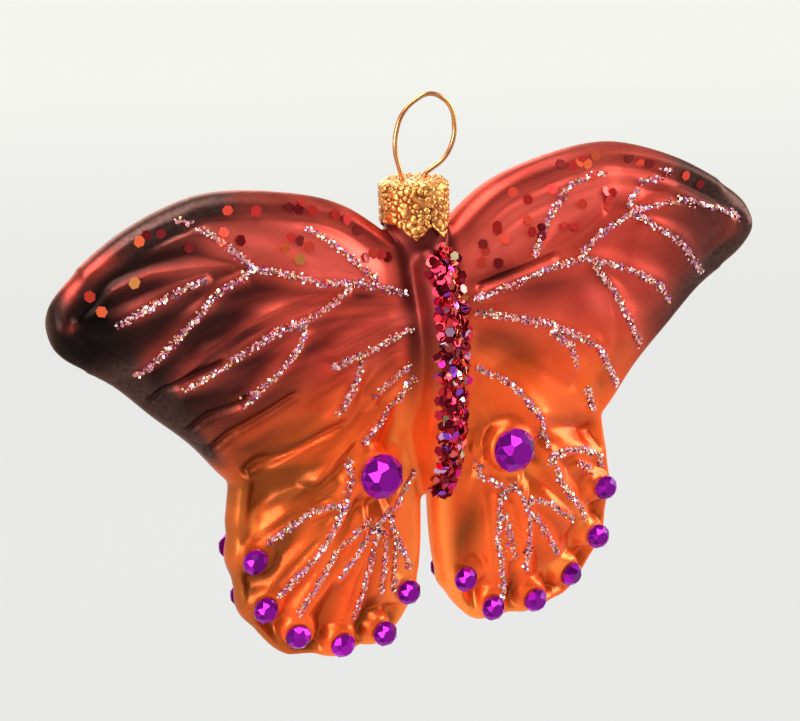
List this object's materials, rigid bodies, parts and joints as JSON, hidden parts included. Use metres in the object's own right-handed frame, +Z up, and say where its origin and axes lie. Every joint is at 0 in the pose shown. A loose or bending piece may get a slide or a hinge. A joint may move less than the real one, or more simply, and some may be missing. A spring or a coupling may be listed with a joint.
{
  "type": "butterfly ornament",
  "caption": "Hollow blown-glass butterfly with rounded wings, glued gems, glitter veins and sequins, hung by a wire eye from a petal-skirted metal cap.",
  "frame": {"origin": "the hanging point inside the wire eye, on the mid-plane of the butterfly", "axes": "+Z up, +X to the viewer's right along the wing span, -Y the front face"},
  "size_m": [0.1224, 0.0222, 0.0869],
  "materials": {
    "lacquered_glass": "satin lacquer over silvered glass",
    "purple_gem": "faceted, foil backed",
    "pink_glitter": "glitter",
    "red_sequin": "metallic foil",
    "mixed_sequin": "metallic foil",
    "gold_cap": "embossed gold",
    "copper_wire": "bright"
  },
  "bodies": {
    "hanger": {"hanger_wire": "copper_wire"},
    "cap": {"ornament_cap": "gold_cap"},
    "butterfly": {"glass_butterfly": "lacquered_glass", "body_sequins_back": "mixed_sequin", "body_sequins_front": "mixed_sequin", "edge_gem_back_left_1": "purple_gem", "edge_gem_back_left_2": "purple_gem", "edge_gem_back_left_3": "purple_gem", "edge_gem_back_left_4": "purple_gem", "edge_gem_back_left_5": "purple_gem", "edge_gem_back_left_6": "purple_gem", "edge_gem_back_right_1": "purple_gem", "edge_gem_back_right_2": "purple_gem", "edge_gem_back_right_3": "purple_gem", "edge_gem_back_right_4": "purple_gem", "edge_gem_back_right_5": "purple_gem", "edge_gem_back_right_6": "purple_gem", "edge_gem_front_left_1": "purple_gem", "edge_gem_front_left_2": "purple_gem", "edge_gem_front_left_3": "purple_gem", "edge_gem_front_left_4": "purple_gem", "edge_gem_front_left_5": "purple_gem", "edge_gem_front_left_6": "purple_gem", "edge_gem_front_right_1": "purple_gem", "edge_gem_front_right_2": "purple_gem", "edge_gem_front_right_3": "purple_gem", "edge_gem_front_right_4": "purple_gem", "edge_gem_front_right_5": "purple_gem", "edge_gem_front_right_6": "purple_gem", "eye_gem_back_left": "purple_gem", "eye_gem_back_right": "purple_gem", "eye_gem_front_left": "purple_gem", "eye_gem_front_right": "purple_gem", "vein_glitter_back_left_fore": "pink_glitter", "vein_glitter_back_left_hind": "pink_glitter", "vein_glitter_back_right_fore": "pink_glitter", "vein_glitter_back_right_hind": "pink_glitter", "vein_glitter_front_left_fore": "pink_glitter", "vein_glitter_front_left_hind": "pink_glitter", "vein_glitter_front_right_fore": "pink_glitter", "vein_glitter_front_right_hind": "pink_glitter", "wing_sequins_back_left": "red_sequin", "wing_sequins_back_right": "red_sequin", "wing_sequins_front_left": "red_sequin", "wing_sequins_front_right": "red_sequin"}
  },
  "joints": [
    {"name": "loop_rock", "type": "hinge", "parent": "hanger", "child": "cap", "pos_m": [0, 0, -0.00918], "axis": [1, 0, 0], "range_deg": [-10, 10]},
    {"name": "cap_pull", "type": "slide", "parent": "cap", "child": "butterfly", "axis": [0, 0, -1], "range_m": [0, 0.012]}
  ]
}
